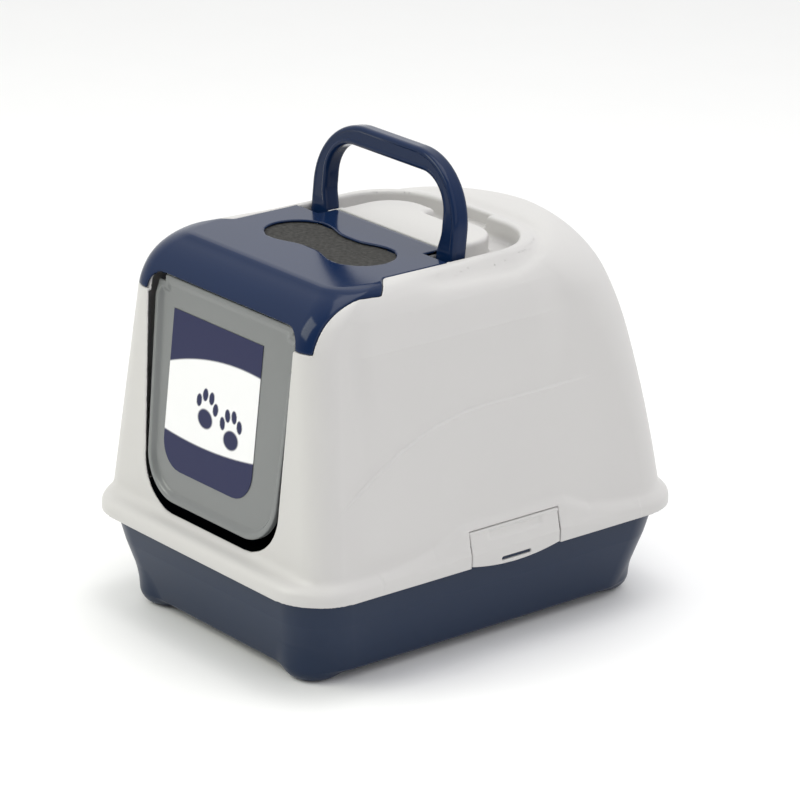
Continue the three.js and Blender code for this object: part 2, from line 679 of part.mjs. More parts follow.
const FILTER_TOP_Z = ROOF_Z - COVER_WALL - GAP;

function filterPlan(grow) {
  const { halfWidth, halfDepth } = FILTER;
  const radius = 30 + grow;
  return roundedPlan(
    halfWidth + grow, VENT.y - halfDepth - grow, VENT.y + halfDepth + grow, radius, radius,
  );
}

function carbonFilter() {
  return alongZ(filterPlan(0), FILTER_TOP_Z - FILTER.thickness, FILTER_TOP_Z);
}

// Open frame under the filter: a border, cross bars, and posts that clip it to the cover.
function filterRetainer() {
  const top = FILTER_TOP_Z - FILTER.thickness - GAP;
  const bottom = top - RETAINER.thickness;
  const frame = alongZ(filterPlan(RETAINER.border), bottom, top)
    .subtract(alongZ(filterPlan(-6), bottom - 1, top + 1));
  const reach = FILTER.halfDepth + 2;
  const bars = [-1, 0, 1].map((i) => box(
    i * 40 - RETAINER.bar / 2, i * 40 + RETAINER.bar / 2, VENT.y - reach, VENT.y + reach, bottom, top,
  ));
  const posts = [[-1, -1], [1, -1], [1, 1], [-1, 1]].map(([sx, sy]) => {
    const x = sx * (FILTER.halfWidth - 40);
    const y = VENT.y + sy * (FILTER.halfDepth + RETAINER.border / 2);
    return box(x - 6, x + 6, y - RETAINER.post / 2, y + RETAINER.post / 2, top - 1, FILTER_TOP_Z);
  });
  return joined([frame, ...bars, ...posts]);
}

// ---------- swing door and label ----------

// The door is drawn upright in the plane y = 0 below its hinge line, then leaned and hung.
function hung(part) {
  return part.rotate([-DOOR_LEAN, 0, 0]).translate([0, DOOR_HINGE.y, DOOR_HINGE.z]);
}

function doorPlan(inset) {
  const high = DOORWAY.halfHigh - DOOR_GAP - inset;
  const low = DOORWAY.halfLow - DOOR_GAP - inset;
  const bottom = DOORWAY.bottomZ + DOOR_SILL_GAP - DOOR_HINGE.z + inset;
  const top = -DOOR_TOP_DROP - inset;
  const notchX = DOORWAY.halfHigh - HANGER.inset - HANGER.width - DOOR_NOTCH.gap - inset;
  const notchZ = top - DOOR_NOTCH.height;
  return outline([
    [notchX, top, 3], [-notchX, top, 3], [-notchX, notchZ, 2], [-high, notchZ, 4],
    [-low, bottom, DOORWAY.radius - inset], [low, bottom, DOORWAY.radius - inset],
    [high, notchZ, 4], [notchX, notchZ, 2],
  ]);
}

function swingDoor() {
  const plate = alongY(doorPlan(0), -DOOR_WALL / 2, DOOR_WALL / 2);
  const border = alongY(doorPlan(0), -DOOR_WALL / 2 - DOOR_BORDER.proud, 0)
    .subtract(alongY(doorPlan(DOOR_BORDER.width), -DOOR_WALL, DOOR_WALL));
  const outerEnd = DOORWAY.halfHigh - HANGER.inset;
  const innerEnd = outerEnd - HINGE_PIN_LENGTH;
  const stem = box(
    innerEnd, innerEnd + HINGE_STEM, -DOOR_WALL / 2, DOOR_WALL / 2, -DOOR_TOP_DROP - 3, 0,
  );
  const knuckle = stem.add(bar('x', DOOR_HINGE.radius, innerEnd, outerEnd, { y: 0, z: 0 }));
  return hung(joined([plate, border, knuckle, mirrored(knuckle)]));
}

function doorLabel() {
  const { x, halfWidth, topZ, bottomZ, radius, thickness } = LABEL;
  const plan = outline([
    [x + halfWidth, topZ - DOOR_HINGE.z, 2], [x - halfWidth, topZ - DOOR_HINGE.z, 2],
    [x - halfWidth, bottomZ - DOOR_HINGE.z, radius], [x + halfWidth, bottomZ - DOOR_HINGE.z, radius],
  ]);
  const face = -DOOR_WALL / 2 - GAP;
  return hung(alongY(plan, face - thickness, face));
}

// ---------- carry handle ----------

function carryHandle() {
  const half = HANDLE_HALF;
  const legInner = half - HANDLE_LEG;
  const footInner = half - HANDLE_FOOT;
  const barInner = HANDLE_REACH - HANDLE_BAR;
  const radius = HANDLE_RADIUS;
  const inner = HANDLE_INNER_RADIUS;
  const foot = -HANDLE_DEPTH / 2 - 1;
  const shape = new THREE.Shape();
  shape.moveTo(half, foot);
  shape.lineTo(half, HANDLE_REACH - radius);
  shape.absarc(half - radius, HANDLE_REACH - radius, radius, 0, Math.PI / 2);
  shape.lineTo(-half + radius, HANDLE_REACH);
  shape.absarc(-half + radius, HANDLE_REACH - radius, radius, Math.PI / 2, Math.PI);
  shape.lineTo(-half, foot);
  shape.lineTo(-footInner, foot);
  shape.lineTo(-footInner, FOOT_BLOCK.top);
  shape.quadraticCurveTo(-legInner, FOOT_BLOCK.bend, -legInner, FOOT_BLOCK.legStart);
  shape.lineTo(-legInner, barInner - inner);
  shape.absarc(-legInner + inner, barInner - inner, inner, Math.PI, Math.PI / 2, true);
  shape.lineTo(legInner - inner, barInner);
  shape.absarc(legInner - inner, barInner - inner, inner, Math.PI / 2, 0, true);
  shape.lineTo(legInner, FOOT_BLOCK.legStart);
  shape.quadraticCurveTo(legInner, FOOT_BLOCK.bend, footInner, FOOT_BLOCK.top);
  shape.lineTo(footInner, foot);
  shape.closePath();
  const bail = alongY(shape, -HANDLE_DEPTH / 2 + HANDLE_EDGE, HANDLE_DEPTH / 2 - HANDLE_EDGE, {
    bevelEnabled: true,
    bevelThickness: HANDLE_EDGE,
    bevelSize: HANDLE_EDGE,
    bevelOffset: -HANDLE_EDGE,
    bevelSegments: 2,
  });
  const round = bar('x', HANDLE_DEPTH / 2, -half - 5, half + 5, { y: 0, z: 0 }, 24);
  const above = box(-half - 5, half + 5, -HANDLE_DEPTH, HANDLE_DEPTH, 0, HANDLE_REACH + 5);
  const pins = bar(
    'x', HANDLE_PIN_RADIUS, -GROOVE.half - HOOD_WALL - 1, -half + 4, { y: 0, z: 0 },
  );
  return joined([bail.intersect(round.add(above)), pins, mirrored(pins)])
    .rotate([-HANDLE_LEAN, 0, 0])
    .translate([0, HANDLE_PIVOT.y, HANDLE_PIVOT.z]);
}

// ---------- colours and the assembly ----------

const FINISHES = {
  navySatin: { color: 0x2b4263, roughness: 0.45 },
  navyGloss: { color: 0x1c3359, roughness: 0.18 },
  white: { color: 0xdedbd5, roughness: 0.5 },
  smoke: { color: 0x969896, roughness: 0.3, transparent: true, opacity: 0.6 },
  fibre: { color: 0x5c5a56, roughness: 1 },
  print: { color: 0xf2f2f2, roughness: 0.4 },
};

// A solid as a named mesh with its own material.
function part(name, shape, finish) {
  const { vertProperties, triVerts } = shape.getMesh();
  const geometry = new THREE.BufferGeometry();
  geometry.setAttribute('position', new THREE.BufferAttribute(vertProperties, 3));
  geometry.setIndex(new THREE.BufferAttribute(triVerts, 1));
  const smooth = geometry.toNonIndexed();
  smooth.computeVertexNormals();
  const mesh = new THREE.Mesh(smooth, new THREE.MeshStandardMaterial({
    metalness: 0, ...FINISHES[finish],
  }));
  mesh.name = name;
  return mesh;
}

const litterBox = new THREE.Group();
litterBox.add(
  part('tray', tray(), 'navySatin'),
  part('hood', hood(), 'white'),
  part('flip_cover', flipCover(), 'navyGloss'),
  part('carbon_filter', carbonFilter(), 'fibre'),
  part('filter_retainer', filterRetainer(), 'navyGloss'),
  part('swing_door', swingDoor(), 'smoke'),
  part('door_label', doorLabel(), 'print'),
  part('carry_handle', carryHandle(), 'navyGloss'),
  part('clip_right', clipRight(), 'white'),
  part('clip_left', mirrored(clipRight()), 'white'),
);

export default litterBox;
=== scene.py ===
import math

import bpy
import numpy as np
from mathutils import Matrix, Vector


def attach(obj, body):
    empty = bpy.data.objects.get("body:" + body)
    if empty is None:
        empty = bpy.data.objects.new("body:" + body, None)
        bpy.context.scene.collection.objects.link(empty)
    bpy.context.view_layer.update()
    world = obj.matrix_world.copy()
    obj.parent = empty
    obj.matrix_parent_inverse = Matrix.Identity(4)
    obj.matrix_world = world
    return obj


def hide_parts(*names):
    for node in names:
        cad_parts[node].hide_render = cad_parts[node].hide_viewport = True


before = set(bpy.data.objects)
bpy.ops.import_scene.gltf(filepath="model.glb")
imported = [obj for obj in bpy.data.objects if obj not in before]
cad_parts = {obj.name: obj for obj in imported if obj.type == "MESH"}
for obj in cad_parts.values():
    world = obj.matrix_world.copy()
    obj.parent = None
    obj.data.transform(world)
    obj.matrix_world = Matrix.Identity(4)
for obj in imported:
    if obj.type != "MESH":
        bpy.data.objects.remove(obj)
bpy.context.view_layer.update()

MM = 0.001

# ---------- sizes in millimetres ----------
LENGTH, WIDTH, ROOF = 500.0, 386.0, 395.0
RIM_Z, RIM_R, BODY_Z = 100.0, 57.0, 123.0
BODY_HALF, BODY_TAPER = 183.0, 35.0
BODY_FRONT, BODY_FRONT_LEAN = -228.5, 18.0
BODY_REAR, BODY_REAR_LEAN = 239.0, 30.0
PLATEAU_HALF, PLATEAU_FRONT, PLATEAU_REAR = 122.0, -165.0, 111.3
FACE_FROM, FACE_SLOPE = 113.0, 0.237
WALL = 2.5
COVER_WALL, SEAT = 2.6, 3.4
VISOR_HALF, VISOR_TIP, VISOR_LIP, VISOR_LEG, VISOR_R = 141.0, 343.0, 363.0, 20.0, 20.0
DOORWAY_HALF, DOORWAY_FLARE, DOORWAY_HIGH = 107.0, 12.0, 245.0
DOORWAY_SILL, DOORWAY_R = 124.0, 46.0
COVER_HINGE = (-2.0, 391.8, 3.0)
HANDLE_HALF, REACH, HANDLE_R, HANDLE_INNER_R = 113.7, 107.0, 72.0, 37.0
BAR, LEG, FOOT, DEPTH, LEAN = 22.0, 22.0, 27.0, 20.0, 5.3
PIVOT = (-4.0, 384.0)
GROOVE_HALF, GROOVE_REAR, GROOVE_FLOOR, GROOVE_R = 117.2, 106.5, 373.0, 66.0
ISLAND_HALF, ISLAND_REAR = 85.5, 79.8
DOOR_HINGE, DOOR_LEAN = (-198.5, 364.0), 6.2
DOOR_HALF, DOOR_DROP, DOOR_TOP, DOOR_WALL = 104.0, 231.0, 4.6, 2.4
DOOR_NOTCH_X, DOOR_NOTCH_Z = 104.8, 11.6
BORDER_LOW, BORDER_MORE, BORDER_WIDTH = 1.2, 3.4, 4.5
VENT_Y, VENT_X, VENT_R, VENT_WAIST = -76.0, 51.0, 34.0, 25.0
CLIP_Y = (-46.0, 69.0)
CLIP_MID = sum(CLIP_Y) / 2
CLIP_HALF = (CLIP_Y[1] - CLIP_Y[0]) / 2
CLIP_WALL = 2.8
CLIP_PIVOT = (185.8, 134.5)
CREASE_TOP, CREASE_BEND, CREASE_RISE = 258.2, 0.0019, 2.6
VALLEY_OUT, VALLEY_DEPTH, VALLEY_WIDTH = 19.0, 3.2, 8.0
TRAY_TOP, TRAY_WALL = 108.1, 2.8
FOOT_X, FOOT_Y, FOOT_R = 119.5, 187.5, 32.0
PAD_HALF, PAD_DEPTH, PAD_R, PAD_Z = 91.5, 34.9, 30.0, 389.0
LABEL_X, LABEL_HALF, LABEL_TOP, LABEL_BOTTOM, LABEL_R = -13.0, 73.0, 329.0, 166.0, 30.0


# ---------- fields: negative inside, about one millimetre per millimetre ----------

def smin(a, b, k):
    h = np.maximum(k - np.abs(a - b), 0) / k
    return np.minimum(a, b) - h * h * k / 4


def smax(a, b, k):
    return -smin(-a, -b, k)


def ramp(t):
    t = np.clip(t, 0, 1)
    return t * t * (3 - 2 * t)


def rounded(qx, qy, r):
    """Distance to a corner of radius r, from the distances to its two sides."""
    ax, ay = qx + r, qy + r
    return np.minimum(np.maximum(ax, ay), 0) + np.hypot(np.maximum(ax, 0), np.maximum(ay, 0)) - r


def plan(x, y, half, front, rear, front_r, rear_r, half_front=None):
    """Rounded rectangle with slightly bowed sides, which may be wider in front."""
    if half_front is None:
        half_front = half
    ax = np.abs(x) / (1 - 0.01 * (y / 250) ** 2)
    t = np.clip((y - front - front_r) / (rear - rear_r - front - front_r), 0, 1)
    r = front_r + (rear_r - front_r) * ramp((y + 120) / 240)
    side = half_front + (half - half_front) * t
    return rounded(ax - side, np.maximum(front - y, y - rear), r)


def shoulder(z, across, down):
    s = np.clip((z - ROOF + down) / down, 0, 0.9995)
    return across * (1 - np.sqrt(1 - s * s))


def body_plan(x, y, z):
    t = (z - BODY_Z) / (ROOF - BODY_Z)
    half = BODY_HALF - BODY_TAPER * t
    return plan(
        x, y, half - shoulder(z, 45, 52), BODY_FRONT + BODY_FRONT_LEAN * t + shoulder(z, 60, 55),
        BODY_REAR - BODY_REAR_LEAN * t - shoulder(z, 38, 114), 30, 49 + 71 * np.clip(t, 0, 1) ** 2,
        half - shoulder(z, 17, 29),
    )


def rim_face(z):
    """How far out the upright face of the rim and of the clips stands."""
    return WIDTH / 2 - FACE_SLOPE * np.clip(z - FACE_FROM, 0, 60)


def crease_z(y):
    """Height of the long curved step on each side of the hood."""
    return CREASE_TOP - CREASE_BEND * np.maximum(-5 - y, 0) ** 2


def crease(x, y, z):
    """How far the side stands out below the long curved step."""
    side = ramp((np.abs(x) - 120) / 30) * ramp((y + 205) / 40) * ramp((150 - y) / 90)
    below = 1 - ramp((z - crease_z(y) + 1.2) / 2.8)
    return CREASE_RISE * side * below * ramp((z - 118) / 25)


def hood_outer(x, y, z):
    """The outer form that the hood and the cover share."""
    d = body_plan(x, y, z)
    rise = (body_plan(x, y, z + 0.5) - body_plan(x, y, z - 0.5))
    body = d / np.sqrt(1 + rise * rise) - crease(x, y, z)
    depth = ROOF - z
    out = np.interp(depth, (0, 4, 14, 28, 60), (0, 4.2, 14, 23.8, 38))
    flat = plan(x, y, PLATEAU_HALF + out, PLATEAU_FRONT, PLATEAU_REAR + out, 20, 70 + out) * 0.72
    form = smax(smin(body, flat, 11), z - ROOF, 3)
    beside = rounded(np.abs(x) - GROOVE_HALF, y - GROOVE_REAR, GROOVE_R) - VALLEY_OUT
    valley = VALLEY_DEPTH * np.exp(-(beside / VALLEY_WIDTH) ** 2)
    form = form + valley * ramp((y + 90) / 50) * ramp((z - 350) / 20)
    rim_d = plan(x, y, WIDTH / 2, -LENGTH / 2, LENGTH / 2, RIM_R, RIM_R)
    top = 114.6 + 0.3 * np.clip(-rim_d, 0, 20)
    rim = smax(rim_d, z - top, 9)
    ay = np.abs(y - CLIP_MID)
    size = np.interp(ay, (67.5, 75.5, 102, 135, 160), (1, 0.88, 0.5, 0.3, 0.15))
    face = rim_face(z) - 4.4 * (1 - size)
    hump = np.maximum(smax(np.abs(x) - face, z - 110 - 31 * size, 7), ay - 165)
    rim = smin(rim, hump, 5)
    box = np.maximum(np.abs(x) - WIDTH / 2, np.abs(y) - LENGTH / 2)
    return np.maximum(smin(form, rim, 9), box)


def cover_plan(x, y):
    ax = np.abs(x)
    step = ramp((y + 126) / 24)
    wide = np.maximum((ax - VISOR_HALF + 21 * step) * (1 - 0.35 * np.sin(math.pi * step)), y + 24)
    return np.minimum(wide, np.maximum(ax - 84, y + 2))


def groove(x, y, z):
    ax = np.abs(x)
    channel = rounded(ax - GROOVE_HALF, y - GROOVE_REAR, GROOVE_R)
    channel = np.maximum(channel, -30 - y)
    island = rounded(ax - ISLAND_HALF, y - ISLAND_REAR, 40)
    channel = smax(smax(channel, -island, 2), GROOVE_FLOOR - z, 6)
    width = 22 + 4 * (z - 379) / 21
    notch = smax(ax - width, np.maximum(np.maximum(379 - z, 64 - y), y - 117), 7)
    return smin(channel, notch, 3)


def doorway(x, z, margin=0):
    half = DOORWAY_HALF + DOORWAY_FLARE * (z - DOORWAY_SILL) / DOORWAY_HIGH + margin
    return rounded(np.abs(x) - half, DOORWAY_SILL - margin - z, DOORWAY_R + margin)


def hood(x, y, z):
    form = hood_outer(x, y, z)
    g = groove(x, y, z)
    lining = form + WALL + crease(x, y, z)
    shell = smax(smax(form, -g, 5), np.minimum(-lining, g - WALL), 0.6)
    place = cover_plan(x, y)
    near = np.maximum(place - 0.4, VISOR_TIP - 0.4 - z)
    shell = smax(shell, -near, 1.6)
    ledge = np.maximum(form + SEAT, -(form + SEAT + WALL))
    ledge = np.maximum(np.maximum(ledge, near - 3), -g)
    rim = np.maximum(np.maximum(form + 0.6, -(form + SEAT + WALL)), np.maximum(near - 3, -near))
    shape = np.minimum(np.minimum(shell, ledge), np.maximum(rim, -g))
    ax = np.abs(x)
    hy, hz, hr = COVER_HINGE
    bearer = np.maximum(np.maximum(ax - ISLAND_HALF, np.abs(y - hy) - 9), np.maximum(383.8 - z, z - ROOF))
    bearer = np.maximum(bearer, -np.maximum(near, ROOF - SEAT - z))
    shape = np.minimum(shape, bearer)
    trough = np.maximum(np.hypot(y - hy, z - hz) - hr - 0.5, ax - 82)
    trough = np.minimum(trough, np.maximum(np.maximum(ax - 82, np.abs(y - hy) - 3.6), hz - z))
    opening = np.maximum(np.maximum(ax - 116, y + 35), VISOR_TIP - 6 - z)
    mouth = np.maximum(doorway(x, z), y + 140)
    pocket = np.maximum(np.abs(y - CLIP_MID) - 58.1, 182.9 - ax - 4.6 * ramp((121 - z) / 16))
    pocket = np.maximum(pocket, z - 137.3)
    shape = smax(shape, -np.minimum(trough, opening), 0.8)
    shape = smax(shape, -mouth, 3.5)
    return np.maximum(smax(shape, -pocket, 1.4), RIM_Z - z)


def vent(x, y):
    """Two round lobes joined by a narrower waist."""
    lobes = np.hypot(np.abs(x) - VENT_X, y - VENT_Y) - VENT_R
    return smin(lobes, np.maximum(np.abs(x) - VENT_X, np.abs(y - VENT_Y) - VENT_WAIST), 16)


def cover(x, y, z):
    form = hood_outer(x, y, z)
    ax = np.abs(x)
    sheet = smax(form, -(form + COVER_WALL), 0.8)
    mouth = np.maximum(rounded(ax - VISOR_HALF + VISOR_LEG, z - VISOR_LIP, VISOR_R), y + 130)
    cut = smax(cover_plan(x, y), VISOR_TIP - z, 2)
    shape = smax(smax(sheet, cut, 1.6), -np.minimum(mouth, vent(x, y)), 1.8)
    hy, hz, hr = COVER_HINGE
    bead = np.maximum(np.hypot(y - hy, z - hz) - hr, ax - 79.8)
    pins = np.maximum(np.hypot(y - hy, z - hz) - 1.5, ax - 83.4)
    dy, dz = y - DOOR_HINGE[0], z - DOOR_HINGE[1]
    ear = np.maximum(np.maximum(np.abs(ax - 109) - 3, form + 1), np.abs(dy - np.clip(dz, 0, 40) * 0.4) - 4)
    ear = np.maximum(np.maximum(ear, -3.9 - dz), 2.8 - np.hypot(dy, dz))
    return np.minimum(np.minimum(shape, smin(bead, pins, 1)), ear)


TRAY_Z = (9, 13.96, 36.7, 68.5, 108.1)
TRAY_LEAN = (26.9, 22.8, 16.8, 8.2, 0)


def tray_outer(x, y, z):
    lean = np.interp(z, TRAY_Z, TRAY_LEAN)
    d = plan(x, y, 182 - lean, -239 + lean, 239 - lean, 50, 50) * 0.96
    wall = smax(d, 9 - z, 6)
    r = np.hypot(np.abs(x) - FOOT_X, np.abs(y) - FOOT_Y)
    foot = smax(rounded(r - FOOT_R, -z, 17), z - 38, 3)
    return smin(wall, foot, 6)


def tray(x, y, z):
    form = tray_outer(x, y, z)
    shell = smax(form, -(form + TRAY_WALL), 1.2)
    lip = np.maximum(plan(x, y, 189.5, -246.5, 246.5, 53.5, 53.5), 105.3 - z)
    lip = np.maximum(lip, -(form + TRAY_WALL))
    return np.maximum(smin(shell, lip, 2), z - TRAY_TOP)


def handle(x, y, z):
    """In the handle's own frame: z up its legs from the pivot, y through its thickness."""
    ax = np.abs(x)
    outer = rounded(ax - HANDLE_HALF, z - REACH, HANDLE_R)
    waist = (FOOT - LEG) * (1 - ramp((z - 8) / 26))
    inner = rounded(ax - HANDLE_HALF + LEG + waist, z - REACH + BAR, HANDLE_INNER_R)
    side = smax(outer, -inner, 3)
    panel = 0.9 * ramp((-side - 4.6) / 1.2) * ramp((z - 12) / 10)
    shape = smax(side, np.abs(y) - DEPTH / 2 + panel, 6)
    low = np.hypot(y, np.minimum(z, 0)) - DEPTH / 2
    shape = smax(shape, low, 1.5)
    pins = np.maximum(np.hypot(y, z) - 4, np.maximum(ax - 120.7, 105 - ax))
    return np.minimum(shape, pins)


def door(x, y, z):
    """In the door's own frame: z down from its hinge line, the outside towards -y."""
    ax = np.abs(x)
    half = DOOR_HALF + DOORWAY_FLARE * (z + DOOR_DROP) / 226
    d = rounded(ax - half, -DOOR_DROP - z, DOORWAY_R)
    notch = np.maximum(DOOR_NOTCH_X - ax, -DOOR_NOTCH_Z - z)
    d = smax(smax(d, z + DOOR_TOP, 3), -notch, 2)
    lift = BORDER_LOW + BORDER_MORE * ramp((-z - 14) / 14)
    proud = lift * (1 - ramp((-d - BORDER_WIDTH) / 6))
    plate = smax(smax(d, -y - DOOR_WALL / 2 - proud, 1.6), y - DOOR_WALL / 2, 1)
    knuckle = np.maximum(np.hypot(y, z) - 2.5, np.maximum(ax - 112, 90 - ax))
    stem = np.maximum(np.maximum(np.abs(y) - DOOR_WALL / 2, np.abs(z + 4) - 4), np.maximum(ax - 104, 90 - ax))
    return np.minimum(plate, smin(knuckle, stem, 1.5))


def clip(x, y, z):
    face = rim_face(z)
    dy = y - CLIP_MID
    low = 95 + 6.5 * (dy / CLIP_HALF) ** 2
    dish = 1.3 * ramp((38 - np.abs(dy)) / 7) * ramp((z - 122) / 5)
    plate = smax(x - face + dish, face - CLIP_WALL - x, 1.2)
    plate = smax(plate, np.maximum(np.abs(dy) - CLIP_HALF, low - z), 2)
    plate = np.maximum(plate, z - CLIP_PIVOT[1])
    r = np.hypot(x - CLIP_PIVOT[0], z - CLIP_PIVOT[1])
    barrel = np.maximum(r - 2.1, np.abs(dy) - CLIP_HALF)
    pin = np.maximum(r - 1.5, np.abs(dy) - CLIP_HALF - 4)
    slot = rounded(np.abs(dy) - 19, np.abs(z - 101.5) - 1.9, 1.5)
    return smax(np.minimum(smin(plate, barrel, 1.5), pin), -slot, 0.8)


def filter_pad(x, y, z):
    side = rounded(np.abs(x) - PAD_HALF, np.abs(y - VENT_Y) - PAD_DEPTH, PAD_R)
    fuzz = np.sin(x * 1.9 + 2 * np.sin(y * 0.7)) * np.sin(y * 2.1 + 2 * np.sin(x * 0.9))
    return smax(side, np.abs(z - PAD_Z) - 2.75 - 0.22 * fuzz, 0.6)


# ---------- fields to meshes ----------

def slope(field, p, h=0.25):
    g = np.empty_like(p)
    for k in range(3):
        step = np.zeros(3)
        step[k] = h
        g[:, k] = (field(*(p + step).T) - field(*(p - step).T)) / (2 * h)
    return g


def surface(field, low, high, step):
    """Points and quads on the zero level of a field, by surface nets."""
    low = np.array(low, float)
    count = np.ceil((np.array(high, float) - low) / step).astype(int) + 1
    axes = [low[k] + step * np.arange(count[k]) for k in range(3)]
    value = np.empty(count, np.float32)
    for i in range(0, count[0], 24):
        value[i:i + 24] = field(
            axes[0][i:i + 24, None, None], axes[1][None, :, None], axes[2][None, None, :],
        )
    inside = value < 0
    total, hits, faces = np.zeros((count.prod(), 3)), np.zeros(count.prod()), []
    stride = np.array([count[1] * count[2], count[2], 1])
    for a in range(3):
        b, c = (a + 1) % 3, (a + 2) % 3
        near = [slice(1, n - 1) for n in count]
        near[a] = slice(0, count[a] - 1)
        far = list(near)
        far[a] = slice(1, count[a])
        here, there = inside[tuple(near)], inside[tuple(far)]
        spot = np.argwhere(here != there)
        spot[:, b] += 1
        spot[:, c] += 1
        v0 = value[tuple(spot.T)].astype(float)
        beyond = spot.copy()
        beyond[:, a] += 1
        v1 = value[tuple(beyond.T)].astype(float)
        cross = low + step * spot
        cross[:, a] += step * v0 / (v0 - v1)
        base = spot @ stride
        ring = [base - stride[b] - stride[c], base - stride[c], base, base - stride[b]]
        for cell in ring:
            for k in range(3):
                total[:, k] += np.bincount(cell, cross[:, k], len(hits))
            hits += np.bincount(cell, minlength=len(hits))
        quad = np.stack(ring, 1)
        quad[v0 > 0] = quad[v0 > 0][:, ::-1]
        faces.append(quad)
    used = np.flatnonzero(hits)
    number = np.zeros(len(hits), np.int64)
    number[used] = np.arange(len(used))
    points = total[used] / hits[used, None]
    for _ in range(3):
        g = slope(field, points)
        move = (field(*points.T) / np.maximum((g * g).sum(1), 0.3))[:, None] * g
        size = np.linalg.norm(move, axis=1, keepdims=True)
        points -= move * np.minimum(1, 0.5 * step / np.maximum(size, 1e-9))
    g = slope(field, points, 0.4)
    normals = g / np.maximum(np.linalg.norm(g, axis=1, keepdims=True), 1e-9)
    return points, number[np.vstack(faces)], normals


def piece(name, made, body, material, replaces=(), turn=None, place=(0, 0, 0)):
    """A mesh from a surface, in the row frame, that rides on a body and stands for CAD nodes."""
    points, quads, normals = made
    if turn is not None:
        points, normals = points @ turn.T + np.array(place), normals @ turn.T
    mesh = bpy.data.meshes.new(name)
    mesh.vertices.add(len(points))
    mesh.vertices.foreach_set("co", (points * MM).astype(np.float32).ravel())
    mesh.loops.add(quads.size)
    mesh.loops.foreach_set("vertex_index", quads.astype(np.int32).ravel())
    mesh.polygons.add(len(quads))
    mesh.polygons.foreach_set("loop_start", np.arange(0, quads.size, 4, dtype=np.int32))
    mesh.update(calc_edges=True)
    mesh.shade_smooth()
    mesh.normals_split_custom_set_from_vertices(normals)
    mesh.materials.append(material)
    obj = bpy.data.objects.new(name, mesh)
    bpy.context.scene.collection.objects.link(obj)
    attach(obj, body)
    if replaces:
        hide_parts(*replaces)
    return obj


def about_x(degrees):
    a = math.radians(degrees)
    return np.array([[1, 0, 0], [0, math.cos(a), -math.sin(a)], [0, math.sin(a), math.cos(a)]])


# ---------- materials ----------

def plastic(
    name, colour, rough, patch=0.05, grain=0.03, grain_scale=900, clear=0.0, shine=0.5, cloud_scale=9,
):
    """Moulded plastic: faint cloudy colour and gloss, and a fine grain in the surface."""
    mat = bpy.data.materials.new(name)
    mat.use_nodes = True
    nodes, links = mat.node_tree.nodes, mat.node_tree.links
    shader = nodes["Principled BSDF"]
    where = nodes.new("ShaderNodeTexCoord")
    cloud = nodes.new("ShaderNodeTexNoise")
    cloud.inputs["Scale"].default_value = cloud_scale
    cloud.inputs["Detail"].default_value = 5
    links.new(where.outputs["Object"], cloud.inputs["Vector"])
    tone = nodes.new("ShaderNodeValToRGB")
    tone.color_ramp.elements[0].color = [c * (1 - patch) for c in colour] + [1]
    tone.color_ramp.elements[1].color = [min(c * (1 + patch), 1) for c in colour] + [1]
    links.new(cloud.outputs["Fac"], tone.inputs["Fac"])
    links.new(tone.outputs["Color"], shader.inputs["Base Color"])
    gloss = nodes.new("ShaderNodeMapRange")
    gloss.inputs["To Min"].default_value = rough * 0.85
    gloss.inputs["To Max"].default_value = rough * 1.15
    links.new(cloud.outputs["Fac"], gloss.inputs["Value"])
    links.new(gloss.outputs["Result"], shader.inputs["Roughness"])
    fine = nodes.new("ShaderNodeTexNoise")
    fine.inputs["Scale"].default_value = grain_scale
    links.new(where.outputs["Object"], fine.inputs["Vector"])
    bump = nodes.new("ShaderNodeBump")
    bump.inputs["Strength"].default_value = grain
    bump.inputs["Distance"].default_value = 0.0004
    links.new(fine.outputs["Fac"], bump.inputs["Height"])
    links.new(bump.outputs["Normal"], shader.inputs["Normal"])
    shader.inputs["Specular IOR Level"].default_value = shine
    shader.inputs["Transmission Weight"].default_value = clear
    return mat


WHITE = plastic("white_plastic", (0.535, 0.525, 0.515), 0.42, 0.015)
NAVY = plastic("navy_gloss", (0.004, 0.015, 0.053), 0.13, 0.08, 0.02, shine=0.2)
NAVY_SATIN = plastic("navy_satin", (0.010, 0.021, 0.050), 0.34, 0.07, 0.05, shine=0.25)
SMOKE = plastic("smoke_plastic", (0.195, 0.204, 0.205), 0.26, 0.03, 0.0, clear=0.15)
FIBRE = plastic("filter_fibre", (0.052, 0.051, 0.049), 0.95, 0.75, 1.0, 700, shine=0.1, cloud_scale=230)

# ---------- pieces ----------

piece(
    "hood_shell", surface(hood, (-195.37, -252.63, 97.21), (195.5, 252.5, 397.5), 1.45),
    "hood", WHITE,
    ["hood"],
)
piece(
    "tray_shell", surface(tray, (-191.63, -248.77, -2.29), (192, 249, 110.5), 1.6),
    "tray", NAVY_SATIN,
    ["tray"],
)
piece(
    "cover_shell", surface(cover, (-143.63, -226.37, 341.27), (144, 4, 397), 1.25),
    "cover", NAVY,
    ["flip_cover"],
)
piece(
    "carry_bail", surface(handle, (-122.63, -12.37, -12.71), (123, 12.5, 109.5), 1.2),
    "handle", NAVY,
    ["carry_handle"], about_x(-LEAN), (0, *PIVOT),
)
piece(
    "door_plate", surface(door, (-118.37, -7.63, -233.71), (119, 4.5, 4.5), 1.15),
    "door", SMOKE,
    ["swing_door"], about_x(-DOOR_LEAN), (0, *DOOR_HINGE),
)
right_clip = surface(clip, (181.13, -52.37, 92.71), (195, 76, 138.5), 0.85)
piece("clip_plate_right", right_clip, "clip_right", WHITE, ["clip_right"])
flip = np.array([-1.0, 1.0, 1.0])
piece(
    "clip_plate_left", (right_clip[0] * flip, right_clip[1][:, ::-1], right_clip[2] * flip),
    "clip_left", WHITE, ["clip_left"],
)
